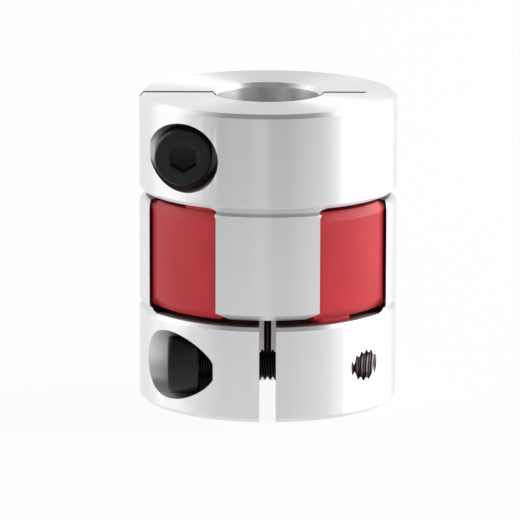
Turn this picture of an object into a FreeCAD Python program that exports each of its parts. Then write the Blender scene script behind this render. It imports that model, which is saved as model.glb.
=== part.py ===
import FreeCAD, Part
import math
import os

# Curved-jaw shaft coupling with two clamp hubs and a four-armed elastic spider.
# Millimetres. The origin is the centre of the lower end face, +Z runs along the shafts,
# and the open clamp slot of the lower hub faces the front, which is -Y.

# Envelope of the assembled coupling
outer_diameter = 25.0
coupling_length = 30.0

# Clamp hub: the plain ring that grips a shaft
bore_diameter = 10.0
base_height = 9.3
end_edge_chamfer = 0.4
bore_mouth_chamfer = 0.4
bore_inner_chamfer = 0.3

# Clamp slots: one open slot and, opposite it, a slit that stops short of the outside
lower_slot_width = 1.6
upper_slot_width = 0.8
relief_slit_width = 0.7
relief_web_thickness = 2.95

# Jaws: two on each hub, left standing between four round pockets
jaw_waist_width = 4.4
jaw_pocket_overhang = 2.3
jaw_tip_gap = 0.64
jaw_root_radius = 0.85
jaw_root_steps = 3
jaw_tip_rim_chamfer = 0.6
jaw_tip_side_chamfer = 0.6
jaw_tip_inner_chamfer = 0.25
jaw_side_edge_break = 0.05

# Shallow groove turned across the jaw roots; its lower side is the ring's upper chamfer
root_groove_depth = 0.3
root_groove_floor = 0.35
root_groove_jaw_side = 0.25
ring_upper_chamfer = 0.35

# Elastic spider: four round arms on a ring
arm_count = 4
arm_rim_inset = 0.4
arm_rim_chamfer_height = 1.1
arm_rim_chamfer_depth = 0.5
arm_side_chamfer = 0.4
arm_corner_radius = 0.5
arm_fit_clearance = 0.02
arm_ring_overlap = 1.05
ring_eye_diameter = 9.0
ring_jaw_clearance = 0.25

# Spacer pads on the arms, which keep the spider off the hub faces
pad_height = 0.5
pad_side_margin = 0.1
pad_corner_radius = 0.6

# Clamp screw: M3 hexagon socket cap screw, run in by hand and not yet tightened
thread_diameter = 3.0
screw_length = 12.0
screw_tip_chamfer = 0.35
head_diameter = 5.5
head_height = 3.0
head_rim_chamfer = 0.25
socket_across_flats = 2.5
socket_depth = 1.6
screw_back_off = 1.35

# Holes for the clamp screw
screw_axis_inset = 0.65
screw_axis_rise = 0.1
head_seat_distance = 5.25
head_side_clearance = 0.58
shank_side_clearance = 0.15
thread_side_clearance = 0.02

# Every cutter runs this far past the faces that it opens
overrun = 1.0
# Two places closer than this count as one
hair = 0.01

outer_radius = outer_diameter / 2
bore_radius = bore_diameter / 2
hub_height = coupling_length - base_height - jaw_tip_gap
spider_space = coupling_length - 2 * base_height
spider_bottom = base_height + pad_height
spider_thickness = spider_space - 2 * pad_height
spider_top = spider_bottom + spider_thickness
spider_rim_radius = outer_radius - arm_rim_inset
arm_centre_radius = (outer_radius + jaw_pocket_overhang + jaw_waist_width / 2) / (
    1 + math.sin(math.pi / arm_count))
pocket_radius = outer_radius + jaw_pocket_overhang - arm_centre_radius
arm_radius = pocket_radius - arm_fit_clearance
ring_outer_radius = arm_centre_radius - arm_radius + arm_ring_overlap
jaw_inner_radius = ring_outer_radius + ring_jaw_clearance
arm_angles = [360.0 / arm_count * (index + 0.5) for index in range(arm_count)]
screw_height = base_height / 2 + screw_axis_rise
screw_axis_offset = (bore_radius + outer_radius) / 2 - screw_axis_inset
tapped_radius = thread_diameter / 2 + thread_side_clearance

up = FreeCAD.Vector(0, 0, 1)
coupling_middle = FreeCAD.Vector(0, 0, coupling_length / 2)


def at_angle(radius, degrees, height=0.0):
    """Point at a distance from the coupling's axis, in a direction given in degrees."""
    angle = math.radians(degrees)
    return FreeCAD.Vector(radius * math.cos(angle), radius * math.sin(angle), height)


def turned(profile):
    """Solid of revolution about Z from corner points (radius, height), open at the axis."""
    corners = [FreeCAD.Vector(radius, 0, height) for radius, height in profile]
    face = Part.Face(Part.makePolygon(corners + corners[:1]))
    return face.revolve(FreeCAD.Vector(), up, 360)


def hub_blank():
    """Turned bar with its end chamfer, the groove across the jaw roots and the tip chamfer."""
    groove_radius = outer_radius - root_groove_depth
    groove_end = base_height + root_groove_floor
    return turned([
        (0, 0),
        (outer_radius - end_edge_chamfer, 0),
        (outer_radius, end_edge_chamfer),
        (outer_radius, base_height - ring_upper_chamfer),
        (groove_radius, base_height),
        (groove_radius, groove_end),
        (outer_radius, groove_end + root_groove_jaw_side),
        (outer_radius, hub_height - jaw_tip_rim_chamfer),
        (outer_radius - jaw_tip_rim_chamfer, hub_height),
        (0, hub_height)])


def arm_pocket():
    """Round pocket for one spider arm, with a rounded foot and a flared mouth."""
    profile = [(0, base_height)]
    for step in range(jaw_root_steps + 1):
        angle = math.radians(90) * step / jaw_root_steps
        profile.append((
            pocket_radius - jaw_root_radius * (1 - math.sin(angle)),
            base_height + jaw_root_radius * (1 - math.cos(angle))))
    profile.append((pocket_radius, hub_height - jaw_tip_side_chamfer))
    profile.append((pocket_radius + jaw_tip_side_chamfer + overrun, hub_height + overrun))
    profile.append((0, hub_height + overrun))
    return turned(profile)


def jaw_clearing():
    """Everything cut away above the clamp ring to leave the two jaws on the X axis."""
    flare = jaw_inner_radius + jaw_tip_inner_chamfer + overrun
    throat = turned([
        (0, base_height),
        (jaw_inner_radius, base_height),
        (jaw_inner_radius, hub_height - jaw_tip_inner_chamfer),
        (flare, hub_height + overrun),
        (0, hub_height + overrun)])
    # The channel's walls pass through the inner corners of the jaws.
    cosine = (arm_centre_radius ** 2 + jaw_inner_radius ** 2 - pocket_radius ** 2) / (
        2 * arm_centre_radius * jaw_inner_radius)
    corner_angle = arm_angles[0] - math.degrees(math.acos(cosine))
    half_width = at_angle(jaw_inner_radius, corner_angle).x
    channel = Part.makeBox(
        2 * half_width, 2 * (outer_radius + overrun), hub_height - base_height + overrun,
        FreeCAD.Vector(-half_width, -outer_radius - overrun, base_height))
    pockets = []
    for angle in arm_angles:
        pocket = arm_pocket()
        pocket.translate(at_angle(arm_centre_radius, angle))
        pockets.append(pocket)
    return throat.fuse([channel] + pockets)


def broken_jaw_sides(hub):
    """Break the sharp upright edges where the jaw sides meet the outside."""
    upright = []
    for edge in hub.Edges:
        box = edge.BoundBox
        is_upright = box.XLength + box.YLength < hair and box.ZMin > base_height
        is_outside = math.hypot(box.Center.x, box.Center.y) > outer_radius - hair
        is_on_jaw_middle = abs(box.Center.y) < hair
        if is_upright and is_outside and not is_on_jaw_middle:
            upright.append(edge)
    return hub.makeChamfer(jaw_side_edge_break, upright)


def bore():
    """Through bore with a chamfered mouth at each end."""
    return turned([
        (0, -overrun),
        (bore_radius + bore_mouth_chamfer + overrun, -overrun),
        (bore_radius, bore_mouth_chamfer),
        (bore_radius, base_height - bore_inner_chamfer),
        (bore_radius + bore_inner_chamfer + overrun, base_height + overrun),
        (0, base_height + overrun)])


def clamp_slots(slot_width):
    """Open slot towards -Y and relief slit with a round end towards +Y."""
    height = base_height + 2 * overrun
    slot = Part.makeBox(
        slot_width, outer_radius + overrun, height,
        FreeCAD.Vector(-slot_width / 2, -outer_radius - overrun, -overrun))
    slit_radius = relief_slit_width / 2
    slit_end = outer_radius - relief_web_thickness - slit_radius
    slit = Part.makeBox(
        relief_slit_width, slit_end, height, FreeCAD.Vector(-slit_radius, 0, -overrun))
    slit_round = Part.makeCylinder(
        slit_radius, height, FreeCAD.Vector(0, slit_end, -overrun), up)
    return slot.fuse([slit, slit_round])


def screw_holes():
    """Counterbore, clearance hole and tapped hole on one axis, head side at -X."""
    reach = outer_radius + overrun
    outwards = FreeCAD.Vector(-1, 0, 0)
    across = FreeCAD.Vector(1, 0, 0)
    middle = FreeCAD.Vector(0, -screw_axis_offset, screw_height)
    seat = middle + outwards * head_seat_distance
    counterbore = Part.makeCylinder(
        head_diameter / 2 + head_side_clearance, reach - head_seat_distance, seat, outwards)
    clearance_hole = Part.makeCylinder(
        thread_diameter / 2 + shank_side_clearance, reach, middle, outwards)
    tapped_hole = Part.makeCylinder(tapped_radius, reach, middle, across)
    return counterbore.fuse([clearance_hole, tapped_hole])


def clamp_hub(slot_width):
    """Hub as it stands in the lower place: end face down, jaws on the X axis."""
    hub = broken_jaw_sides(hub_blank().cut(jaw_clearing()))
    return hub.cut([bore(), clamp_slots(slot_width), screw_holes()])


def spacer_pad():
    """Raised half of an arm's lower face, on the side nearer the Y axis."""
    angle = arm_angles[-1]
    pad_radius = arm_radius - jaw_root_radius - pad_side_margin
    disc = Part.makeCylinder(
        pad_radius, pad_height, at_angle(arm_centre_radius, angle, base_height), up)
    inside_rim = Part.makeCylinder(
        spider_rim_radius - arm_rim_chamfer_depth - pad_side_margin, pad_height,
        FreeCAD.Vector(0, 0, base_height), up)
    half = Part.makeBox(
        outer_radius, outer_radius, pad_height, FreeCAD.Vector(0, -outer_radius, base_height))
    half.rotate(FreeCAD.Vector(), up, angle - 360)
    pad = disc.common(inside_rim).common(half)
    corners = [edge for edge in pad.Edges if edge.BoundBox.ZLength > pad_height / 2]
    return pad.makeFillet(pad_corner_radius, corners)


def arc(start, passed, end):
    """Edge on the circle through three points."""
    return Part.Arc(start, passed, end).toShape()


def spider_arm():
    """Round arm with its outer side on the rim, rounded upright corners and chamfered ends."""
    middle = arm_angles[0]
    arm_centre = at_angle(arm_centre_radius, middle, spider_bottom)
    # Each corner arc touches the rim and the round side of the arm from within.
    corner_reach = spider_rim_radius - arm_corner_radius
    cosine = (arm_centre_radius ** 2 + corner_reach ** 2 - (
        arm_radius - arm_corner_radius) ** 2) / (2 * arm_centre_radius * corner_reach)
    swing = math.degrees(math.acos(cosine))
    rim_ends = []
    side_ends = []
    corner_arcs = []
    for turn in (-swing, swing):
        corner_centre = at_angle(corner_reach, middle + turn, spider_bottom)
        rim_end = at_angle(spider_rim_radius, middle + turn, spider_bottom)
        to_side = (corner_centre - arm_centre).normalize()
        side_end = arm_centre + to_side * arm_radius
        outwards = (rim_end + side_end - corner_centre * 2).normalize()
        rim_ends.append(rim_end)
        side_ends.append(side_end)
        corner_arcs.append(arc(rim_end, corner_centre + outwards * arm_corner_radius, side_end))
    outer_middle = at_angle(spider_rim_radius, middle, spider_bottom)
    inner_middle = at_angle(arm_centre_radius - arm_radius, middle, spider_bottom)
    outline = Part.Wire([
        arc(rim_ends[0], outer_middle, rim_ends[1]), corner_arcs[1],
        arc(side_ends[1], inner_middle, side_ends[0]), corner_arcs[0]])
    prism = Part.Face(outline).extrude(up * spider_thickness)
    ends = [edge for edge in prism.Edges if edge.BoundBox.ZLength < hair]
    return prism.makeChamfer(arm_side_chamfer, ends)


def spider():
    """Ring with four round arms, tapered towards their ends, and pads on alternate faces."""
    arms = []
    for angle in arm_angles:
        arm = spider_arm()
        arm.rotate(FreeCAD.Vector(), up, angle - arm_angles[0])
        arms.append(arm)
    ring = Part.makeCylinder(
        ring_outer_radius, spider_thickness, FreeCAD.Vector(0, 0, spider_bottom), up)
    end_radius = spider_rim_radius - arm_rim_chamfer_depth
    rim = turned([
        (0, spider_bottom), (end_radius, spider_bottom),
        (spider_rim_radius, spider_bottom + arm_rim_chamfer_height),
        (spider_rim_radius, spider_top - arm_rim_chamfer_height),
        (end_radius, spider_top), (0, spider_top)])
    eye = Part.makeCylinder(
        ring_eye_diameter / 2, spider_thickness + 2 * overrun,
        FreeCAD.Vector(0, 0, spider_bottom - overrun), up)
    body = ring.fuse(arms).common(rim).cut(eye)
    pads = [spacer_pad(), spacer_pad()]
    pads[1].rotate(FreeCAD.Vector(), up, 180)
    for pad in list(pads):
        opposite = pad.copy()
        opposite.rotate(coupling_middle, FreeCAD.Vector(1, 0, 0), 180)
        pads.append(opposite)
    return body.fuse(pads)


def socket():
    """Hexagon socket, sunk from height 0."""
    corner_radius = socket_across_flats / 2 / math.cos(math.radians(30))
    corners = [at_angle(corner_radius, 60 * index, -socket_depth) for index in range(7)]
    return Part.Face(Part.makePolygon(corners)).extrude(up * (socket_depth + overrun))


def clamp_screw():
    """Cap screw in the lower hub, its head towards -X."""
    head_radius = head_diameter / 2
    shank_radius = thread_diameter / 2
    # The screw is turned standing up, with the head's outer face at height 0.
    foot = -head_height
    tip = foot - screw_length
    screw = turned([
        (0, tip),
        (shank_radius - screw_tip_chamfer, tip),
        (shank_radius, tip + screw_tip_chamfer),
        (shank_radius, foot),
        (head_radius, foot),
        (head_radius, -head_rim_chamfer),
        (head_radius - head_rim_chamfer, 0),
        (0, 0)]).cut(socket())
    screw.rotate(FreeCAD.Vector(), FreeCAD.Vector(0, 1, 0), -90)
    face_distance = head_seat_distance + screw_back_off + head_height
    screw.translate(FreeCAD.Vector(-face_distance, -screw_axis_offset, screw_height))
    return screw


def moved_to_upper(shape):
    """Turn a lower piece over into the upper place, a quarter turn round from the lower."""
    upper = shape.copy()
    upper.rotate(coupling_middle, FreeCAD.Vector(1, 1, 0), 180)
    return upper


def write(node, shape):
    """Write one piece as a STEP file named after its node."""
    solid = shape.removeSplitter().Solids[0]
    solid.exportStep(os.path.join("parts", node + ".step"))
    print(node, "valid", solid.isValid(), "solids", len(shape.Solids),
          "volume", round(solid.Volume, 2))


os.makedirs("parts", exist_ok=True)
write("lower_hub", clamp_hub(lower_slot_width))
write("upper_hub", moved_to_upper(clamp_hub(upper_slot_width)))
write("spider", spider())
write("lower_clamp_screw", clamp_screw())
write("upper_clamp_screw", moved_to_upper(clamp_screw()))
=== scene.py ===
"""Looks of a curved-jaw shaft coupling: two turned clamp hubs, an elastic spider, two screws.

Every length is in metres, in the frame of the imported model: +Z along the shafts, the open clamp
slot of the lower hub towards -Y, and the lower end face on the floor.
"""

import math

import bmesh
import bpy
from bpy.props import FloatProperty, FloatVectorProperty, IntProperty, PointerProperty
from mathutils import Matrix, Vector


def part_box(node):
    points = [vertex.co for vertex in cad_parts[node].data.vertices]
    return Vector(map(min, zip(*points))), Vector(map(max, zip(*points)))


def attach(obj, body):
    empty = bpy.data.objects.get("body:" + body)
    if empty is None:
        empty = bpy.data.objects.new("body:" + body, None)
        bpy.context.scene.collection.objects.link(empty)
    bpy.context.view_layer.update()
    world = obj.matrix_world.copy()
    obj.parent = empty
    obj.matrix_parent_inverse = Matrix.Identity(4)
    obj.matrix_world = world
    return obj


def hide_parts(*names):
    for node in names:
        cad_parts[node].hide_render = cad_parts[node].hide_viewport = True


bl_info = {
    "name": "Jaw Coupling",
    "version": (1, 0, 0),
    "blender": (4, 5, 0),
    "location": "3D View > Sidebar > Coupling",
    "description": "Dresses a jaw coupling with clamp hubs, spider and clamp screws",
    "category": "Add Mesh",
}

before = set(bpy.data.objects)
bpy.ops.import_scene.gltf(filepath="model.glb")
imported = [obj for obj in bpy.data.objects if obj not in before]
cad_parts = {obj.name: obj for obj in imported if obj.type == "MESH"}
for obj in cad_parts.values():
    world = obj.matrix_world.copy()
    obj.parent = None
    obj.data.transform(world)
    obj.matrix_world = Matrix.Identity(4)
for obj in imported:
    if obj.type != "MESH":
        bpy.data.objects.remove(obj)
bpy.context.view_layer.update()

MM = 0.001

# Points of a mesh nearer than this are one point, and faces that turn less than this are one face.
MERGE_DISTANCE = 0.001 * MM
CUT_TOLERANCE = 0.0001 * MM
FLAT_TURN = math.radians(0.5)

# Edges of the hubs that turn more than these angles, in degrees, are edges and sharp edges.
EDGE_TURN = 24
SHARP_EDGE_TURN = 100

# Angle, in degrees, over which the other pieces keep an edge.
THREAD_CREASE = 35
SPIDER_CREASE = 40
FLAT_CREASE = 30

ARC_STEP = 0.25 * MM
EASING_STEPS = 4
RIM_STEPS = 4

# Azimuth and elevation in degrees, distance and size in metres, power in watts. Azimuths run
# from the front towards the right.
SOFTBOXES = (
    ("key_softbox", 109, 18, 0.5, (0.55, 0.6), 3.1),
    ("key_feather", 74, 18, 0.5, (0.1, 0.6), 0.2),
    ("fill_softbox", -100, 15, 0.6, (0.5, 0.6), 0.9))

# The room is darker in front, between these azimuths in degrees, and fades to white at its sides.
ROOM_SIDES = (-85, 80)
ROOM_FADES = ((-85, -40), (72, 28))
ROOM_STEPS = 24
ROOM_DISTANCE = 0.75
ROOM_HEIGHT = 0.8
TABLE_REACH = (0.105, 0.74)
TABLE_HEIGHT = 1 * MM
FRONT_LIGHT = 0.5
TABLE_LIGHT = 0.38
CEILING_LIGHT = 0.12
CLUTTER_DEPTH = 0.35


def from_hex(code):
    """Linear colour of an sRGB hex value such as #C8C8CA."""
    channels = [int(code[place:place + 2], 16) / 255 for place in (1, 3, 5)]
    return [
        channel / 12.92 if channel <= 0.04045 else ((channel + 0.055) / 1.055) ** 2.4
        for channel in channels]


def length(name, default, description):
    """Length property, with its default in millimetres."""
    return FloatProperty(
        name=name, description=description, default=default * MM, min=0.0, precision=5,
        unit="LENGTH")


def colour(name, default, description):
    """Colour property, with its default as an sRGB hex value."""
    return FloatVectorProperty(
        name=name, description=description, default=from_hex(default), min=0.0, max=1.0,
        subtype="COLOR")


# Settings


class HubSettings(bpy.types.PropertyGroup):
    """Finish of the clamp hubs, and the width of their open slots."""

    metal: colour("Aluminium", "#E4E4E6", "Colour of the turned aluminium")
    edge_rounding: length("Edge rounding", 0.05, "Rounding left on each machined edge")
    sharp_edge_rounding: length(
        "Sharp edge rounding", 0.13, "Rounding of the jaws' sharp edges, broken by hand")
    turning_pitch: length("Turning pitch", 0.11, "Distance between the lathe's tool marks")
    # The next four settings give the colour, depth and reach of the shade painted into hollows and
    # gaps.
    painted_shade_and_oxide_mottle: colour("Painted shade", "#643A3B", "Colour painted into the hollows and gaps as shade")
    painted_shade_depth: FloatProperty(
        name="Painted shade depth", description="How far the painted shade darkens the metal in narrow hollows",
        default=0.95, min=0.0, max=1.0)
    hollow_width: length("Hollow width", 8.0, "Width of the hollows that get painted shade")
    gap_width: length("Gap width", 1.2, "Width of the gaps between parts that get painted shade")
    lower_slot: length("Lower slot", 1.6, "Width of the open clamp slot of the lower hub")
    upper_slot: length("Upper slot", 0.8, "Width of the open clamp slot of the upper hub")


class ThreadSettings(bpy.types.PropertyGroup):
    """Metric thread that the clamp screws and the tapped holes share."""

    pitch: length("Pitch", 0.5, "Distance from one crest to the next")
    crest_radius: length("Crest radius", 1.485, "Outer radius of the screw's thread")
    core_radius: length("Core radius", 1.193, "Radius at the root of the screw's thread")
    bore_radius: length("Bore radius", 1.25, "Radius inside the crests of the tapped thread")
    groove_radius: length("Groove radius", 1.506, "Radius at the root of the tapped thread")
    sleeve_radius: length("Sleeve radius", 1.511, "Radius where the tapped thread meets its hole")
    columns: IntProperty(
        name="Columns", description="Points around one turn", default=96, min=24, step=6)


class ScrewSettings(bpy.types.PropertyGroup):
    """Hexagon socket cap screw."""

    oxide: colour("Black oxide", "#18181B", "Colour of the blackened steel")
    head_height: length("Head height", 3.0, "Height of the cap head")
    rim_radius: length("Rim radius", 0.3, "Rounding of the head's rim")
    foot_chamfer: length("Foot chamfer", 0.12, "Chamfer under the head")
    knurl_depth: length("Knurl depth", 0.045, "Depth of the straight knurl on the head's side")
    knurl_margin: length("Knurl margin", 0.12, "Plain band at each end of the knurl")
    tip_chamfer: length("Tip chamfer", 0.35, "Chamfer at the end of the thread")
    across_flats: length("Across flats", 2.5, "Width of the hexagon socket")
    socket_depth: length("Socket depth", 1.6, "Depth of the hexagon socket's walls")
    socket_flare: length("Socket flare", 0.1, "Width of the chamfer outside the socket's corners")
    drill_depth: length("Drill point", 0.4, "Depth of the drill's cone under the socket")


class SpiderSettings(bpy.types.PropertyGroup):
    """Finish of the elastic spider."""

    rubber: colour("Polyurethane", "#CA323A", "Colour of the moulded polyurethane")
    arm_reach: length("Arm reach", 9.9584, "From the axis to the centre of an arm's round side")
    arm_radius: length("Arm radius", 4.8216, "Radius of an arm's round side")
    rim_radius: length("Rim radius", 12.1, "Radius of the arms' outer sides")
    ring_radius: length("Ring radius", 6.1868, "Outer radius of the ring that joins the arms")
    eye_radius: length("Eye radius", 4.5, "Radius of the ring's eye")
    corner_radius: length("Corner radius", 0.2, "Rounding from an outer side to the round side")
    crook_radius: length("Crook radius", 0.4, "Rounding between the ring and an arm")
    rim_taper_depth: length("Rim taper depth", 0.5, "Depth of the taper on the outer sides")
    rim_taper_height: length("Rim taper height", 0.9, "Height of the taper on the outer sides")
    side_chamfer: length("Side chamfer", 0.4, "Chamfer on the arms' round sides")
    ring_chamfer: length("Ring chamfer", 0.1, "Chamfer on the ring and in its eye")
    pad_height: length("Pad height", 0.5, "Height of the pads on the arms' ends")
    edge_rounding: length("Edge rounding", 0.22, "Rounding of the moulded edges")
    grain: length("Grain", 0.18, "Size of the mould's matt grain")


class StudioSettings(bpy.types.PropertyGroup):
    """Camera and lights."""

    camera_distance: length("Camera distance", 539.45, "From the coupling's middle to the camera")
    camera_elevation: FloatProperty(
        name="Camera elevation", description="Height of the camera as an angle",
        default=math.radians(11.802), subtype="ANGLE")
    aim_right: FloatProperty(
        name="Aim right", description="Turn of the camera to its right",
        default=math.radians(-0.081), subtype="ANGLE")
    aim_up: FloatProperty(
        name="Aim up", description="Tilt of the camera upwards",
        default=math.radians(-0.172), subtype="ANGLE")
    roll: FloatProperty(
        name="Roll", description="Roll of the camera about its line of sight",
        default=math.radians(0.169), subtype="ANGLE")
    lens: FloatProperty(
        name="Lens", description="Focal length on a 36 mm sensor", default=383.1, min=1.0,
        unit="CAMERA")
    floor_radius: length("Floor radius", 1500.0, "Radius of the round floor")
    light_level: FloatProperty(
        name="Light level", description="Strength of the even light from all round",
        default=0.54, min=0.0)
    paper_glow: FloatProperty(
        name="Paper glow", description="Share of the floor that the light from below whitens",
        default=0.93, min=0.0, max=1.0)


class CouplingSettings(bpy.types.PropertyGroup):
    """Everything that a user would change."""

    hub: PointerProperty(type=HubSettings)
    thread: PointerProperty(type=ThreadSettings)
    screw: PointerProperty(type=ScrewSettings)
    spider: PointerProperty(type=SpiderSettings)
    studio: PointerProperty(type=StudioSettings)


# Materials


def new_material(name):
    """Empty node material, with its tree."""
    material = bpy.data.materials.new(name)
    material.use_nodes = True
    material.node_tree.nodes.clear()
    return material, material.node_tree


def add_node(tree, kind, inputs=None, **settings):
    """Add a node with its settings; an input is given as a value or as the socket it comes from."""
    node = tree.nodes.new(kind)
    for name, value in settings.items():
        setattr(node, name, value)
    for name, value in (inputs or {}).items():
        if isinstance(value, bpy.types.NodeSocket):
            tree.links.new(value, node.inputs[name])
        else:
            node.inputs[name].default_value = value
    return node


def turned_aluminium(settings):
    """Aluminium bar turned on a lathe and left bare, with shade painted into its hollows and gaps.
    """
    material, tree = new_material("turned_aluminium")
    # The tool leaves fine rings about Z, so highlights spread across them, up and down the
    # walls. The rings are drawn about twice as coarse as real ones, so that they just show.
    place = add_node(tree, "ShaderNodeTexCoord").outputs["Object"]
    split = add_node(tree, "ShaderNodeSeparateXYZ", {"Vector": place})
    across = add_node(tree, "ShaderNodeCombineXYZ", {
        "X": split.outputs["X"], "Y": split.outputs["Y"]})
    radius = add_node(
        tree, "ShaderNodeVectorMath", {0: across.outputs["Vector"]}, operation="LENGTH")
    ring_place = add_node(tree, "ShaderNodeCombineXYZ", {
        "X": radius.outputs["Value"], "Y": split.outputs["Z"]})
    rings = add_node(tree, "ShaderNodeTexNoise", {
        "Vector": ring_place.outputs["Vector"], "Scale": 1 / settings.turning_pitch,
        "Detail": 2.0}, noise_dimensions="2D")
    handling = add_node(tree, "ShaderNodeTexNoise", {
        "Vector": place, "Scale": 1 / (4 * MM), "Detail": 3.0})
    ring_roughness = add_node(tree, "ShaderNodeMapRange", {
        "Value": rings.outputs["Fac"], "From Min": 0.3, "From Max": 0.7,
        "To Min": 0.34, "To Max": 0.39})
    roughness = add_node(tree, "ShaderNodeMath", {
        0: handling.outputs["Fac"], 1: 0.04, 2: ring_roughness.outputs["Result"]},
        operation="MULTIPLY_ADD")
    bump = add_node(tree, "ShaderNodeBump", {
        "Height": rings.outputs["Fac"], "Strength": 0.15, "Distance": 0.002 * MM})
    tangent = add_node(tree, "ShaderNodeTangent", direction_type="RADIAL", axis="Z")
    # Painted shade: ambient occlusion mixes the metal towards a dark warm colour in the slots, the
    # holes and the corners, and in the gaps to the other parts. The painted gap shade fades out
    # near the end that stands on the table, so that the floor doesn't darken it.
    hollows = add_node(
        tree, "ShaderNodeAmbientOcclusion", {"Distance": settings.hollow_width}, samples=8,
        only_local=True)
    gaps = add_node(
        tree, "ShaderNodeAmbientOcclusion", {"Distance": settings.gap_width}, samples=8)
    painted_shade_masks = [
        add_node(tree, "ShaderNodeMapRange", {
            "Value": open_sky.outputs["AO"], "From Min": closed, "From Max": 0.9,
            "To Min": settings.painted_shade_depth, "To Max": 0.0})
        for open_sky, closed in ((hollows, 0.1), (gaps, 0.3))]
    above_foot = add_node(tree, "ShaderNodeMapRange", {
        "Value": split.outputs["Z"], "From Min": settings.gap_width,
        "From Max": 2 * settings.gap_width})
    painted_gap_shade = add_node(tree, "ShaderNodeMath", {
        0: painted_shade_masks[1].outputs["Result"], 1: above_foot.outputs["Result"]}, operation="MULTIPLY")
    painted_shade_mask = add_node(tree, "ShaderNodeMath", {
        0: painted_shade_masks[0].outputs["Result"], 1: painted_gap_shade.outputs["Value"]}, operation="MAXIMUM")
    # The metal's colour is mixed towards the painted shade colour as far as the ambient occlusion
    # masks reach.
    base = add_node(tree, "ShaderNodeMix", {
        0: painted_shade_mask.outputs["Value"], 6: (*settings.metal, 1.0), 7: (*settings.painted_shade_and_oxide_mottle, 1.0)},
        data_type="RGBA")
    shader = add_node(tree, "ShaderNodeBsdfPrincipled", {
        "Base Color": base.outputs[2], "Metallic": 1.0,
        "Roughness": roughness.outputs["Value"], "Anisotropic": 0.85,
        "Anisotropic Rotation": 0.25, "Normal": bump.outputs["Normal"],
        "Tangent": tangent.outputs["Tangent"]})
    add_node(tree, "ShaderNodeOutputMaterial", {"Surface": shader.outputs["BSDF"]})
    return material


def moulded_polyurethane(settings):
    """Hard elastic polyurethane, injection moulded in a lightly blasted mould."""
    material, tree = new_material("moulded_polyurethane")
    # Light enters the skin a little way, which softens the shading at the edges.
    place = add_node(tree, "ShaderNodeTexCoord").outputs["Object"]
    grain = add_node(tree, "ShaderNodeTexNoise", {
        "Vector": place, "Scale": 1 / settings.grain, "Detail": 3.0})
    flow = add_node(tree, "ShaderNodeTexNoise", {
        "Vector": place, "Scale": 1 / (5 * MM), "Detail": 2.0})
    tint = add_node(tree, "ShaderNodeMapRange", {
        "Value": flow.outputs["Fac"], "From Min": 0.3, "From Max": 0.7,
        "To Min": 0.92, "To Max": 1.06})
    base = add_node(tree, "ShaderNodeVectorMath", {
        0: tuple(settings.rubber), "Scale": tint.outputs["Result"]}, operation="SCALE")
    roughness = add_node(tree, "ShaderNodeMapRange", {
        "Value": grain.outputs["Fac"], "From Min": 0.3, "From Max": 0.7,
        "To Min": 0.34, "To Max": 0.46})
    bump = add_node(tree, "ShaderNodeBump", {
        "Height": grain.outputs["Fac"], "Strength": 0.2, "Distance": 0.01 * MM})
    shader = add_node(tree, "ShaderNodeBsdfPrincipled", {
        "Base Color": base.outputs["Vector"], "Roughness": roughness.outputs["Result"],
        "IOR": 1.5, "Specular IOR Level": 0.3, "Subsurface Weight": 0.2,
        "Subsurface Radius": (1.0, 0.3, 0.25),
        "Subsurface Scale": 0.6 * MM, "Normal": bump.outputs["Normal"]})
    add_node(tree, "ShaderNodeOutputMaterial", {"Surface": shader.outputs["BSDF"]})
    return material


def black_oxide_steel(settings):
    """Alloy steel, cold headed, thread rolled and blackened in a hot oxide bath."""
    material, tree = new_material("black_oxide_steel")
    # The oxide is a thin matt skin, near black, with a faint oily unevenness.
    place = add_node(tree, "ShaderNodeTexCoord").outputs["Object"]
    skin = add_node(tree, "ShaderNodeTexNoise", {
        "Vector": place, "Scale": 1 / (0.12 * MM), "Detail": 4.0})
    painted_shade_and_oxide_mottle = add_node(tree, "ShaderNodeTexNoise", {
        "Vector": place, "Scale": 1 / (1.2 * MM), "Detail": 2.0})
    tint = add_node(tree, "ShaderNodeMapRange", {
        "Value": painted_shade_and_oxide_mottle.outputs["Fac"], "From Min": 0.3, "From Max": 0.7,
        "To Min": 0.8, "To Max": 1.2})
    base = add_node(tree, "ShaderNodeVectorMath", {
        0: tuple(settings.oxide), "Scale": tint.outputs["Result"]}, operation="SCALE")
    roughness = add_node(tree, "ShaderNodeMapRange", {
        "Value": skin.outputs["Fac"], "From Min": 0.3, "From Max": 0.7,
        "To Min": 0.36, "To Max": 0.48})
    bump = add_node(tree, "ShaderNodeBump", {
        "Height": skin.outputs["Fac"], "Strength": 0.3, "Distance": 0.006 * MM})
    shader = add_node(tree, "ShaderNodeBsdfPrincipled", {
        "Base Color": base.outputs["Vector"], "IOR": 1.5, "Specular IOR Level": 0.25,
        "Roughness": roughness.outputs["Result"], "Normal": bump.outputs["Normal"]})
    add_node(tree, "ShaderNodeOutputMaterial", {"Surface": shader.outputs["BSDF"]})
    return material


def seen_directly(tree):
    """Socket that is 1 on camera, glossy and transmission rays and 0 on light's own bounces."""
    path = add_node(tree, "ShaderNodeLightPath")
    mirrored = add_node(tree, "ShaderNodeMath", {
        0: path.outputs["Is Camera Ray"], 1: path.outputs["Is Glossy Ray"]},
        operation="MAXIMUM")
    seen = add_node(tree, "ShaderNodeMath", {
        0: mirrored.outputs["Value"], 1: path.outputs["Is Transmission Ray"]},
        operation="MAXIMUM")
    return seen.outputs["Value"]


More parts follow.
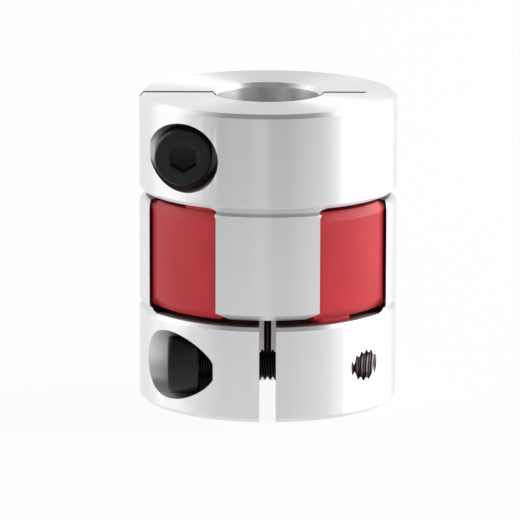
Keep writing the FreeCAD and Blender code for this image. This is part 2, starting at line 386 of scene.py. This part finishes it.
def matt_paper(studio):
    """White paper lit from below: it keeps a faint shadow, and mirrors in metal as white."""
    material, tree = new_material("matt_paper")
    path = add_node(tree, "ShaderNodeLightPath")
    glow = add_node(tree, "ShaderNodeMath", {
        0: path.outputs["Is Camera Ray"], 1: studio.paper_glow}, operation="MULTIPLY")
    glossy = add_node(tree, "ShaderNodeMath", {
        0: glow.outputs["Value"], 1: path.outputs["Is Glossy Ray"]}, operation="MAXIMUM")
    mirrored = add_node(tree, "ShaderNodeMath", {
        0: glossy.outputs["Value"], 1: path.outputs["Is Transmission Ray"]},
        operation="MAXIMUM")
    place = add_node(tree, "ShaderNodeTexCoord").outputs["Object"]
    fibre = add_node(tree, "ShaderNodeTexNoise", {"Vector": place, "Scale": 1 / (0.5 * MM)})
    bump = add_node(tree, "ShaderNodeBump", {
        "Height": fibre.outputs["Fac"], "Strength": 0.05, "Distance": 0.02 * MM})
    paper = add_node(tree, "ShaderNodeBsdfDiffuse", {
        "Color": (*from_hex("#FAFAFA"), 1.0), "Normal": bump.outputs["Normal"]})
    white = add_node(tree, "ShaderNodeEmission", {"Strength": 1.0})
    surface = add_node(tree, "ShaderNodeMixShader", {
        0: mirrored.outputs["Value"], 1: paper.outputs["BSDF"], 2: white.outputs["Emission"]})
    add_node(tree, "ShaderNodeOutputMaterial", {"Surface": surface.outputs["Shader"]})
    return material


def material_for(name, make, settings):
    """The material of this name, made on first use."""
    return bpy.data.materials.get(name) or make(settings)


# Mesh tools


def new_piece(name, bm, material, crease):
    """Turn a bmesh into a smooth-shaded object whose edges over the crease angle stay sharp."""
    bmesh.ops.recalc_face_normals(bm, faces=bm.faces)
    mesh = bpy.data.meshes.new(name)
    bm.to_mesh(mesh)
    bm.free()
    mesh.shade_smooth()
    mesh.set_sharp_from_angle(angle=math.radians(crease))
    mesh.materials.append(material)
    piece = bpy.data.objects.new(name, mesh)
    bpy.context.scene.collection.objects.link(piece)
    return piece


def rounded_copy(node, name, material, rounding, sharp_rounding):
    """Copy a solid of the frame with its facets merged and its edges rounded."""
    bm = bmesh.new()
    bm.from_mesh(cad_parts[node].data)
    bmesh.ops.remove_doubles(bm, verts=bm.verts, dist=MERGE_DISTANCE)
    bmesh.ops.dissolve_limit(bm, angle_limit=FLAT_TURN, verts=bm.verts, edges=bm.edges)
    weight = bm.edges.layers.float.new("bevel_weight_edge")
    for edge in bm.edges:
        turn = math.degrees(edge.calc_face_angle(0))
        if turn > SHARP_EDGE_TURN:
            edge[weight] = 1.0
        elif turn > EDGE_TURN:
            edge[weight] = rounding / sharp_rounding
    piece = new_piece(name, bm, material, EDGE_TURN)
    bevel = piece.modifiers.new("Edge rounding", "BEVEL")
    bevel.width = sharp_rounding
    bevel.segments = 2
    bevel.limit_method = "WEIGHT"
    bevel.face_strength_mode = "FSTR_ALL"
    # The walls keep their own normals, and only the narrow roundings turn from one to the next.
    plain = piece.modifiers.new("Plain walls", "WEIGHTED_NORMAL")
    plain.keep_sharp = True
    plain.use_face_influence = True
    graph = bpy.context.evaluated_depsgraph_get()
    rounded = bpy.data.meshes.new_from_object(piece.evaluated_get(graph))
    piece.modifiers.clear()
    piece.data = rounded
    return piece


def add_ring(bm, columns, place):
    """Closed ring of vertices about X; place gives (distance along X, radius) at an angle."""
    ring = []
    for column in range(columns):
        angle = 2 * math.pi * column / columns
        along, radius = place(angle)
        ring.append(bm.verts.new((along, radius * math.cos(angle), radius * math.sin(angle))))
    return ring


def join_rings(bm, rings):
    """Faces between each ring and the next."""
    for ring, following in zip(rings, rings[1:]):
        for column in range(len(ring)):
            after = (column + 1) % len(ring)
            bm.faces.new((ring[column], ring[after], following[after], following[column]))


def rim_edges(bm, ring):
    """Edges along a ring."""
    return [bm.edges.get((ring[column - 1], ring[column])) for column in range(len(ring))]


def wind_thread(bm, profile, pitch, start, end, columns, limit=None):
    """Wind a right-hand thread about X; profile gives (share of the pitch, radius) over one pitch.

    Crests lie where the distance along X is a whole number of pitches at angle 0, so that a
    screw and its tapped hole that are wound from the same place fit each other.
    """
    first_turn = math.floor(start / pitch) - 2
    last_turn = math.ceil(end / pitch) + 1
    rows = []
    for turn in range(first_turn, last_turn + 1):
        for share, radius in profile:
            row = []
            for column in range(columns):
                angle = 2 * math.pi * column / columns
                along = pitch * (turn + share + column / columns)
                reach = min(radius, limit(along)) if limit else radius
                row.append(bm.verts.new((along, reach * math.cos(angle), reach * math.sin(angle))))
            rows.append(row)
    for index in range(len(rows) - len(profile)):
        # Past its last column a row carries on as the row one turn further along.
        row = rows[index] + rows[index + len(profile)][:1]
        following = rows[index + 1] + rows[min(index + 1 + len(profile), len(rows) - 1)][:1]
        for column in range(columns):
            corners = (row[column], row[column + 1], following[column + 1], following[column])
            if len(set(corners)) == len(corners):
                bm.faces.new(corners)


def cut_off(bm, along, side):
    """Cut away what lies past a plane across X, on the side +1 or -1; return the cut's edges."""
    geometry = bm.verts[:] + bm.edges[:] + bm.faces[:]
    cut = bmesh.ops.bisect_plane(
        bm, geom=geometry, dist=CUT_TOLERANCE, plane_co=(along, 0, 0), plane_no=(side, 0, 0),
        clear_outer=True)
    return [part for part in cut["geom_cut"] if isinstance(part, bmesh.types.BMEdge)]


def upper_place():
    """Turn that brings a lower piece to its place in the upper hub."""
    low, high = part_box("upper_hub")[1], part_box("lower_hub")[0]
    return Matrix(((0, 1, 0, 0), (1, 0, 0, 0), (0, 0, -1, low.z + high.z), (0, 0, 0, 1)))


def screw_place():
    """Place of the lower screw: its head's outer face, with the axis along +X."""
    low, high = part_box("lower_clamp_screw")
    return Vector((low.x, (low.y + high.y) / 2, (low.z + high.z) / 2))


def set_on_axis(bm, upper):
    """Move a mesh wound about X onto the axis of the lower or the upper clamp screw."""
    bmesh.ops.translate(bm, verts=bm.verts, vec=screw_place())
    if upper:
        bmesh.ops.transform(bm, verts=bm.verts, matrix=upper_place())


# Pieces


def screw_profile(thread):
    """External thread: flat crest, flanks at 60 degrees and a wider flat root."""
    flank = (thread.crest_radius - thread.core_radius) * math.tan(math.radians(30)) / thread.pitch
    crest = 1 / 16
    middle = (thread.crest_radius + thread.core_radius) / 2
    return [
        (-crest, thread.crest_radius), (crest, thread.crest_radius),
        (crest + flank / 2, middle), (crest + flank, thread.core_radius),
        (1 - crest - flank, thread.core_radius), (1 - crest - flank / 2, middle)]


def tapped_profile(thread):
    """Internal thread: the groove that the screw's crest runs in, and the land between."""
    flank = (thread.groove_radius - thread.bore_radius) * math.tan(math.radians(30)) / thread.pitch
    land = 1 / 8
    return [
        (flank + land - 0.5, thread.groove_radius), (0.5 - land - flank, thread.groove_radius),
        (0.5 - land, thread.bore_radius), (0.5 + land, thread.bore_radius)]


def screw_head(bm, screw, radius, columns):
    """Cap head from its face at 0 to its foot, with the hexagon socket; returns the foot ring."""
    corner = screw.across_flats / 2 / math.cos(math.radians(30))
    mouth = corner + screw.socket_flare
    side = math.radians(60)
    # The drill is a little smaller than the hexagon, and the flare is 35 degrees steep.
    drill = screw.across_flats * 0.46
    flare_slope = 0.7

    def hexagon(angle):
        return screw.across_flats / 2 / math.cos(((angle + side / 2) % side) - side / 2)

    def knurled(angle):
        ridge = round(angle / (2 * math.pi) * columns) % 2
        return radius - screw.knurl_depth * ridge

    rings = [
        add_ring(bm, columns, lambda angle: (screw.socket_depth, drill)),
        add_ring(bm, columns, lambda angle: (screw.socket_depth, hexagon(angle))),
        add_ring(bm, columns, lambda angle: (
            (mouth - hexagon(angle)) * flare_slope, hexagon(angle))),
        add_ring(bm, columns, lambda angle: (0, mouth))]
    for step in range(RIM_STEPS + 1):
        bend = math.radians(90) * step / RIM_STEPS
        along = screw.rim_radius * (1 - math.cos(bend))
        reach = radius - screw.rim_radius * (1 - math.sin(bend))
        rings.append(add_ring(bm, columns, lambda angle: (along, reach)))
    knurl_start = screw.rim_radius + screw.knurl_margin
    knurl_end = screw.head_height - screw.foot_chamfer - screw.knurl_margin
    rings.append(add_ring(bm, columns, lambda angle: (knurl_start, radius)))
    rings.append(add_ring(
        bm, columns, lambda angle: (knurl_start + screw.knurl_depth, knurled(angle))))
    rings.append(add_ring(
        bm, columns, lambda angle: (knurl_end - screw.knurl_depth, knurled(angle))))
    rings.append(add_ring(bm, columns, lambda angle: (knurl_end, radius)))
    rings.append(add_ring(
        bm, columns, lambda angle: (screw.head_height - screw.foot_chamfer, radius)))
    rings.append(add_ring(
        bm, columns, lambda angle: (screw.head_height, radius - screw.foot_chamfer)))
    join_rings(bm, rings)
    point = bm.verts.new((screw.socket_depth + screw.drill_depth, 0, 0))
    floor_ring = rings[0]
    for column in range(columns):
        bm.faces.new((floor_ring[column - 1], floor_ring[column], point))
    return rings[-1]


def clamp_screw(name, upper, settings, material):
    """Cap screw with its rolled thread, as one closed mesh."""
    thread = settings.thread
    screw = settings.screw
    low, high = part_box("lower_clamp_screw")
    tip = high.x - low.x
    tip_radius = thread.crest_radius - screw.tip_chamfer
    bm = bmesh.new()
    wind_thread(
        bm, screw_profile(thread), thread.pitch, screw.head_height, tip, thread.columns,
        limit=lambda along: tip_radius + max(tip - along, 0))
    tip_edges = cut_off(bm, tip, 1)
    bmesh.ops.triangle_fill(bm, edges=tip_edges, use_beauty=True)
    neck_edges = cut_off(bm, screw.head_height, -1)
    foot = screw_head(bm, screw, (high.y - low.y) / 2, thread.columns)
    bmesh.ops.triangle_fill(bm, edges=neck_edges + rim_edges(bm, foot), use_beauty=True)
    set_on_axis(bm, upper)
    return new_piece(name, bm, material, THREAD_CREASE)


def tapped_thread(name, upper, slot_width, settings, material):
    """Thread cut in a hub's tapped hole, from the clamp slot to the hub's outside."""
    thread = settings.thread
    place = screw_place()
    outside = cad_radius()

    def skin(across):
        return math.sqrt(outside ** 2 - (place.y + across) ** 2) - place.x

    start = slot_width / 2 - place.x
    end = skin(thread.sleeve_radius)
    bm = bmesh.new()
    wind_thread(
        bm, tapped_profile(thread), thread.pitch, start, end, thread.columns)
    join_rings(bm, [
        add_ring(bm, thread.columns, lambda angle: (start - thread.pitch, thread.sleeve_radius)),
        add_ring(bm, thread.columns, lambda angle: (end + thread.pitch, thread.sleeve_radius))])
    bmesh.ops.triangle_fill(bm, edges=cut_off(bm, start, -1), use_beauty=True)
    # The hub's round outside is laid flat for the cut and the fill, and bent back after them.
    for vertex in bm.verts:
        vertex.co.x -= skin(vertex.co.y)
    bmesh.ops.triangle_fill(bm, edges=cut_off(bm, 0, 1), use_beauty=True)
    for vertex in bm.verts:
        vertex.co.x += skin(vertex.co.y)
    set_on_axis(bm, upper)
    return new_piece(name, bm, material, THREAD_CREASE)


class Edge:
    """Point on an outline: its place, the way out of the material, and its end chamfer."""

    def __init__(self, place, out, depth, height):
        self.place = place
        self.out = out
        self.depth = depth
        self.height = height


def arc_edges(centre, radius, start, end, first, last, hollow=False):
    """Edges along an arc; first and last are the (depth, height) of the chamfer at its ends."""
    count = max(2, round(abs(end - start) * radius / ARC_STEP))
    edges = []
    for step in range(count):
        share = step / count
        angle = start + (end - start) * share
        ray = Vector((math.cos(angle), math.sin(angle)))
        eased = share * share * (3 - 2 * share)
        depth, height = [a + (b - a) * eased for a, b in zip(first, last)]
        edges.append(Edge(centre + ray * radius, -ray if hollow else ray, depth, height))
    return edges


def spider_outline(spider):
    """Outline of the spider, seen from above, counter-clockwise from the first arm's middle."""
    rim = (spider.rim_taper_depth, spider.rim_taper_height)
    side = (spider.side_chamfer, spider.side_chamfer)
    ring = (spider.ring_chamfer, spider.ring_chamfer)
    corner = spider.corner_radius
    crook = spider.crook_radius
    reach = spider.arm_reach

    def apex(near, far):
        """Angle at the axis in the triangle of the axis, an arm's centre and a third point."""
        return math.acos((reach ** 2 + near ** 2 - far ** 2) / (2 * reach * near))

    corner_swing = apex(spider.rim_radius - corner, spider.arm_radius - corner)
    crook_swing = apex(spider.ring_radius + crook, spider.arm_radius + crook)
    quarter = math.radians(90)
    origin = Vector((0, 0))
    edges = []
    for arm in range(4):
        middle = quarter * (arm + 0.5)
        centre = Vector((math.cos(middle), math.sin(middle))) * reach

        def lean(swing, distance):
            """Centre of a corner arc, and its direction from the arm's centre."""
            point = Vector((math.cos(middle + swing), math.sin(middle + swing))) * distance
            return point, math.atan2(*(point - centre).yx)

        half = []
        point, turn = lean(corner_swing, spider.rim_radius - corner)
        turn = middle + (turn - middle) % (2 * math.pi)
        half += arc_edges(origin, spider.rim_radius, middle, middle + corner_swing, rim, rim)
        half += arc_edges(point, corner, middle + corner_swing, turn, rim, side)
        hollow, hollow_turn = lean(crook_swing, spider.ring_radius + crook)
        hollow_turn = middle + (hollow_turn - middle) % (2 * math.pi)
        half += arc_edges(centre, spider.arm_radius, turn, hollow_turn, side, side)
        half += arc_edges(
            hollow, crook, hollow_turn + math.pi, middle + crook_swing + math.pi, side, ring,
            hollow=True)
        half += arc_edges(
            origin, spider.ring_radius, middle + crook_swing, middle + quarter / 2, ring, ring)
        # The other half of the arm is this one in a mirror through the arm's middle.
        across = Vector((-math.sin(middle), math.cos(middle)))
        mirrored = [
            Edge(edge.place - across * 2 * edge.place.dot(across),
                 edge.out - across * 2 * edge.out.dot(across), edge.depth, edge.height)
            for edge in half[1:]]
        last = Vector((math.cos(middle - quarter / 2), math.sin(middle - quarter / 2)))
        edges += [Edge(last * spider.ring_radius, last, *ring)] + mirrored[::-1] + half
    return edges


def rounded_corners(corners, rounding):
    """Points along a line of corners in a plane, with each inner corner eased by small steps."""
    longest = 0.45
    points = [corners[0]]
    for before, corner, after in zip(corners, corners[1:], corners[2:]):
        back, on = before - corner, after - corner
        trim = min(
            rounding * math.tan(back.angle(-on) / 2), back.length * longest, on.length * longest)
        start = corner + back.normalized() * trim
        end = corner + on.normalized() * trim
        for step in range(EASING_STEPS + 1):
            share = step / EASING_STEPS
            points.append(start.lerp(corner, share).lerp(corner.lerp(end, share), share))
    return points + [corners[-1]]


def moulded_wall(bm, outline, bottom, top, rounding):
    """Upright wall on an outline, chamfered at both ends; returns its rows of vertices."""
    columns = []
    for edge in outline:
        lip = edge.depth + rounding / 2
        corners = [
            Vector(pair) for pair in (
                (lip, bottom), (edge.depth, bottom), (0, bottom + edge.height),
                (0, top - edge.height), (edge.depth, top), (lip, top))]
        column = []
        for inset, height in rounded_corners(corners, rounding):
            x, y = edge.place - edge.out * inset
            column.append(bm.verts.new((x, y, height)))
        columns.append(column)
    rows = list(zip(*columns))
    join_rings(bm, rows)
    return rows


def spider_pads(bm, bottom, top, rounding):
    """Add the pads, cut from the solid's own mesh, with their edges eased."""
    slice_depth = 0.05 * MM
    root_depth = 0.2 * MM
    near_root = 0.1 * MM
    above_root = 0.3 * MM
    for height, side in ((bottom, 1), (top, -1)):
        pads = bmesh.new()
        pads.from_mesh(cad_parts["spider"].data)
        bmesh.ops.remove_doubles(pads, verts=pads.verts, dist=MERGE_DISTANCE)
        geometry = pads.verts[:] + pads.edges[:] + pads.faces[:]
        cut = bmesh.ops.bisect_plane(
            pads, geom=geometry, dist=CUT_TOLERANCE,
            plane_co=(0, 0, height - side * slice_depth), plane_no=(0, 0, side),
            clear_outer=True)
        rims = [part for part in cut["geom_cut"] if isinstance(part, bmesh.types.BMEdge)]
        bmesh.ops.triangle_fill(pads, edges=rims, use_beauty=True)
        for vertex in pads.verts:
            if abs(vertex.co.z - height) < near_root:
                # The pads reach into the arms, so that no seam shows.
                vertex.co.z = height + side * root_depth
        bmesh.ops.dissolve_limit(pads, angle_limit=FLAT_TURN, verts=pads.verts, edges=pads.edges)
        crown = [
            edge for edge in pads.edges
            if all(abs(vertex.co.z - height) > above_root for vertex in edge.verts)]
        bmesh.ops.bevel(
            pads, geom=crown, offset=rounding / 3, segments=3, profile=0.5, affect="EDGES")
        copy = bpy.data.meshes.new("pads")
        pads.to_mesh(copy)
        pads.free()
        bm.from_mesh(copy)
        bpy.data.meshes.remove(copy)


def moulded_spider(spider, material):
    """Spider with its edges rounded as the mould leaves them."""
    low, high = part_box("spider")
    bottom = low.z + spider.pad_height
    top = high.z - spider.pad_height
    chamfer = (spider.ring_chamfer, spider.ring_chamfer)
    eye = arc_edges(
        Vector((0, 0)), spider.eye_radius, 0, 2 * math.pi, chamfer, chamfer, hollow=True)
    bm = bmesh.new()
    outside = moulded_wall(bm, spider_outline(spider), bottom, top, spider.edge_rounding)
    inside = moulded_wall(bm, eye, bottom, top, spider.edge_rounding)
    for end in (0, -1):
        bmesh.ops.triangle_fill(
            bm, edges=rim_edges(bm, outside[end]) + rim_edges(bm, inside[end]), use_beauty=True)
    spider_pads(bm, bottom, top, spider.edge_rounding)
    return new_piece("spider_moulded", bm, material, SPIDER_CREASE)


def cad_radius():
    """Outer radius of the hubs."""
    low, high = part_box("lower_hub")
    return (high.x - low.x) / 2


def ride_along(piece, slot, *nodes):
    """Tie a piece to the part's one body, in place of the nodes it stands for; the finish slot is
    not used.
    """
    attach(piece, "root")
    if nodes:
        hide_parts(*nodes)


# Studio


def camera_turn(studio):
    """Rotation of the camera, from its elevation and its small turns."""
    elevation = studio.camera_elevation
    forward = Vector((0, math.cos(elevation), -math.sin(elevation)))
    right = Vector((1, 0, 0))
    up = right.cross(forward)
    pitched = forward * math.cos(studio.aim_up) + up * math.sin(studio.aim_up)
    pitched_up = up * math.cos(studio.aim_up) - forward * math.sin(studio.aim_up)
    sight = pitched * math.cos(studio.aim_right) + right * math.sin(studio.aim_right)
    side = right * math.cos(studio.aim_right) - pitched * math.sin(studio.aim_right)
    rolled_side = side * math.cos(studio.roll) + pitched_up * math.sin(studio.roll)
    rolled_up = pitched_up * math.cos(studio.roll) - side * math.sin(studio.roll)
    return Matrix((rolled_side, rolled_up, -sight)).transposed()


def add_camera(studio, middle):
    """Camera at the photograph's viewing angle."""
    data = bpy.data.cameras.new("camera")
    data.lens = studio.lens
    data.clip_start = 0.01
    camera = bpy.data.objects.new("camera", data)
    elevation = studio.camera_elevation
    offset = Vector((0, -math.cos(elevation), math.sin(elevation))) * studio.camera_distance
    camera.matrix_world = Matrix.Translation(middle + offset) @ camera_turn(studio).to_4x4()
    bpy.context.scene.collection.objects.link(camera)
    bpy.context.scene.camera = camera


def add_softbox(middle, name, azimuth, elevation, distance, size, power):
    """Softbox that faces the coupling; azimuth runs from the front towards the right."""
    data = bpy.data.lights.new(name, "AREA")
    data.shape = "RECTANGLE"
    data.size, data.size_y = size
    data.energy = power
    turn = math.radians(azimuth)
    rise = math.radians(elevation)
    direction = Vector((
        math.sin(turn) * math.cos(rise), -math.cos(turn) * math.cos(rise), math.sin(rise)))
    light = bpy.data.objects.new(name, data)
    light.location = middle + direction * distance
    light.rotation_euler = direction.to_track_quat("Z", "Y").to_euler()
    bpy.context.scene.collection.objects.link(light)


def add_world(studio):
    """Even light from all round, with a plain white background."""
    world = bpy.data.worlds.new("white_room")
    world.use_nodes = True
    tree = world.node_tree
    tree.nodes.clear()
    light = add_node(tree, "ShaderNodeBackground", {
        "Color": (1.0, 1.0, 1.0, 1.0), "Strength": studio.light_level})
    white = add_node(tree, "ShaderNodeBackground", {
        "Color": (1.0, 1.0, 1.0, 1.0), "Strength": 1.0})
    both = add_node(tree, "ShaderNodeMixShader", {
        0: seen_directly(tree), 1: light.outputs["Background"],
        2: white.outputs["Background"]})
    add_node(tree, "ShaderNodeOutputWorld", {"Surface": both.outputs["Shader"]})
    bpy.context.scene.world = world


def add_floor(studio):
    """Round paper floor just under the coupling."""
    bm = bmesh.new()
    bmesh.ops.create_circle(bm, cap_ends=True, segments=96, radius=studio.floor_radius)
    bmesh.ops.translate(bm, verts=bm.verts, vec=(0, 0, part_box("lower_hub")[0].z - 0.02 * MM))
    floor = new_piece("floor", bm, matt_paper(studio), FLAT_CREASE)


def room_shade(name, brightness):
    """Darker part of the room, which fades to white at its two sides."""
    material, tree = new_material(name)
    place = add_node(tree, "ShaderNodeTexCoord").outputs["Object"]
    split = add_node(tree, "ShaderNodeSeparateXYZ", {"Vector": place})
    front = add_node(tree, "ShaderNodeMath", {0: split.outputs["Y"], 1: -1.0},
                     operation="MULTIPLY")
    azimuth = add_node(tree, "ShaderNodeMath", {
        0: split.outputs["X"], 1: front.outputs["Value"]}, operation="ARCTAN2")
    sides = [
        add_node(tree, "ShaderNodeMapRange", {
            "Value": azimuth.outputs["Value"], "From Min": math.radians(outer),
            "From Max": math.radians(inner)}, interpolation_type="SMOOTHSTEP")
        for outer, inner in ROOM_FADES]
    # Things that stand about in the room give the faint upright streaks on the walls.
    clutter = add_node(tree, "ShaderNodeTexNoise", {
        "W": azimuth.outputs["Value"], "Scale": 5.0, "Detail": 1.0}, noise_dimensions="1D")
    depth = add_node(tree, "ShaderNodeMapRange", {
        "Value": clutter.outputs["Fac"], "From Min": 0.25, "From Max": 0.75,
        "To Min": brightness - 1 + CLUTTER_DEPTH, "To Max": brightness - 1 - CLUTTER_DEPTH})
    shade = add_node(tree, "ShaderNodeMath", {
        0: sides[0].outputs["Result"], 1: sides[1].outputs["Result"]}, operation="MULTIPLY")
    strength = add_node(tree, "ShaderNodeMath", {
        0: shade.outputs["Value"], 1: depth.outputs["Result"], 2: 1.0},
        operation="MULTIPLY_ADD")
    light = add_node(tree, "ShaderNodeEmission", {"Strength": strength.outputs["Value"]})
    add_node(tree, "ShaderNodeOutputMaterial", {"Surface": light.outputs["Emission"]})
    return material


def plain_shade(name, brightness):
    """Evenly darker part of the room."""
    material, tree = new_material(name)
    light = add_node(tree, "ShaderNodeEmission", {"Strength": brightness})
    add_node(tree, "ShaderNodeOutputMaterial", {"Surface": light.outputs["Emission"]})
    return material


def add_flag(name, rows, material):
    """Flag that only shows in the metal, as a darker part of the room; rows are its points."""
    bm = bmesh.new()
    below, above = [[bm.verts.new(point) for point in row] for row in rows]
    for column in range(1, len(below)):
        bm.faces.new((below[column - 1], below[column], above[column], above[column - 1]))
    flag = new_piece(name, bm, material, FLAT_CREASE)
    flag.visible_camera = False
    flag.visible_diffuse = False
    flag.visible_transmission = False
    flag.visible_shadow = False


def room_row(distance, height):
    """Points round the front of the coupling, from the room's left side to its right side."""
    start, end = ROOM_SIDES
    turns = [
        math.radians(start + (end - start) * step / ROOM_STEPS) for step in range(ROOM_STEPS + 1)]
    return [(math.sin(turn) * distance, -math.cos(turn) * distance, height) for turn in turns]


def add_room():
    """Darker front, table and ceiling of the room."""
    front = [room_row(ROOM_DISTANCE, height) for height in (0, ROOM_HEIGHT)]
    add_flag("front_curtain", front, room_shade("room_front", FRONT_LIGHT))
    table = [room_row(distance, TABLE_HEIGHT) for distance in TABLE_REACH]
    add_flag("table_edge", table, room_shade("room_table", TABLE_LIGHT))
    ceiling = [
        [(across, depth, ROOM_HEIGHT) for across in (-0.5, 0.5)] for depth in (-0.5, 0.25)]
    add_flag("dark_ceiling", ceiling, plain_shade("room_ceiling", CEILING_LIGHT))


# Operators


class COUPLING_OT_clamp_hubs(bpy.types.Operator):
    """Dress both clamp hubs in turned aluminium with rounded edges"""

    bl_idname = "coupling.clamp_hubs"
    bl_label = "Clamp Hubs"

    def execute(self, context):
        hub = context.scene.jaw_coupling.hub
        metal = material_for("turned_aluminium", turned_aluminium, hub)
        for node in ("lower_hub", "upper_hub"):
            piece = rounded_copy(
                node, node + "_turned", metal, hub.edge_rounding, hub.sharp_edge_rounding)
            ride_along(piece, "hub_aluminium", node)
        return {"FINISHED"}


class COUPLING_OT_tapped_threads(bpy.types.Operator):
    """Cut the threads in the tapped holes of both hubs"""

    bl_idname = "coupling.tapped_threads"
    bl_label = "Tapped Threads"

    def execute(self, context):
        settings = context.scene.jaw_coupling
        metal = material_for("turned_aluminium", turned_aluminium, settings.hub)
        for name, upper, slot in (
                ("lower_hub_tapped_thread", False, settings.hub.lower_slot),
                ("upper_hub_tapped_thread", True, settings.hub.upper_slot)):
            ride_along(tapped_thread(name, upper, slot, settings, metal), "hub_aluminium")
        return {"FINISHED"}


class COUPLING_OT_spider(bpy.types.Operator):
    """Dress the elastic spider in moulded polyurethane"""

    bl_idname = "coupling.spider"
    bl_label = "Spider"

    def execute(self, context):
        spider = context.scene.jaw_coupling.spider
        rubber = material_for("moulded_polyurethane", moulded_polyurethane, spider)
        ride_along(moulded_spider(spider, rubber), "spider_polyurethane", "spider")
        return {"FINISHED"}


class COUPLING_OT_clamp_screws(bpy.types.Operator):
    """Make both clamp screws, with their threads, knurled heads and sockets"""

    bl_idname = "coupling.clamp_screws"
    bl_label = "Clamp Screws"

    def execute(self, context):
        settings = context.scene.jaw_coupling
        steel = material_for("black_oxide_steel", black_oxide_steel, settings.screw)
        for node, upper in (("lower_clamp_screw", False), ("upper_clamp_screw", True)):
            piece = clamp_screw(node + "_threaded", upper, settings, steel)
            ride_along(piece, "screw_steel", node)
        return {"FINISHED"}


class COUPLING_OT_studio(bpy.types.Operator):
    """Set up the floor, the world, the camera, the softboxes and the room"""

    bl_idname = "coupling.studio"
    bl_label = "Studio"

    def execute(self, context):
        studio = context.scene.jaw_coupling.studio
        low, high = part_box("lower_hub")[0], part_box("upper_hub")[1]
        middle = Vector((0, 0, (low.z + high.z) / 2))
        add_floor(studio)
        add_world(studio)
        add_camera(studio, middle)
        for softbox in SOFTBOXES:
            add_softbox(middle, *softbox)
        add_room()
        context.scene.view_settings.view_transform = "Standard"
        return {"FINISHED"}


class COUPLING_PT_build(bpy.types.Panel):
    """Build the coupling piece by piece"""

    bl_label = "Jaw Coupling"
    bl_idname = "COUPLING_PT_build"
    bl_space_type = "VIEW_3D"
    bl_region_type = "UI"
    bl_category = "Coupling"

    def draw(self, context):
        settings = context.scene.jaw_coupling
        for group, operators in (
                (settings.hub, (COUPLING_OT_clamp_hubs,)),
                (settings.thread, (COUPLING_OT_tapped_threads,)),
                (settings.spider, (COUPLING_OT_spider,)),
                (settings.screw, (COUPLING_OT_clamp_screws,)),
                (settings.studio, (COUPLING_OT_studio,))):
            box = self.layout.box()
            for name in group.__annotations__:
                box.prop(group, name)
            for operator in operators:
                box.operator(operator.bl_idname)


CLASSES = (
    HubSettings, ThreadSettings, ScrewSettings, SpiderSettings, StudioSettings,
    CouplingSettings, COUPLING_OT_clamp_hubs, COUPLING_OT_tapped_threads, COUPLING_OT_spider,
    COUPLING_OT_clamp_screws, COUPLING_OT_studio, COUPLING_PT_build)


def register():
    for each in CLASSES:
        bpy.utils.register_class(each)
    bpy.types.Scene.jaw_coupling = PointerProperty(type=CouplingSettings)


def unregister():
    del bpy.types.Scene.jaw_coupling
    for each in reversed(CLASSES):
        bpy.utils.unregister_class(each)


def main():
    register()
    bpy.ops.coupling.clamp_hubs()
    bpy.ops.coupling.tapped_threads()
    bpy.ops.coupling.spider()
    bpy.ops.coupling.clamp_screws()
    bpy.ops.coupling.studio()


if __name__ == "__main__":
    main()
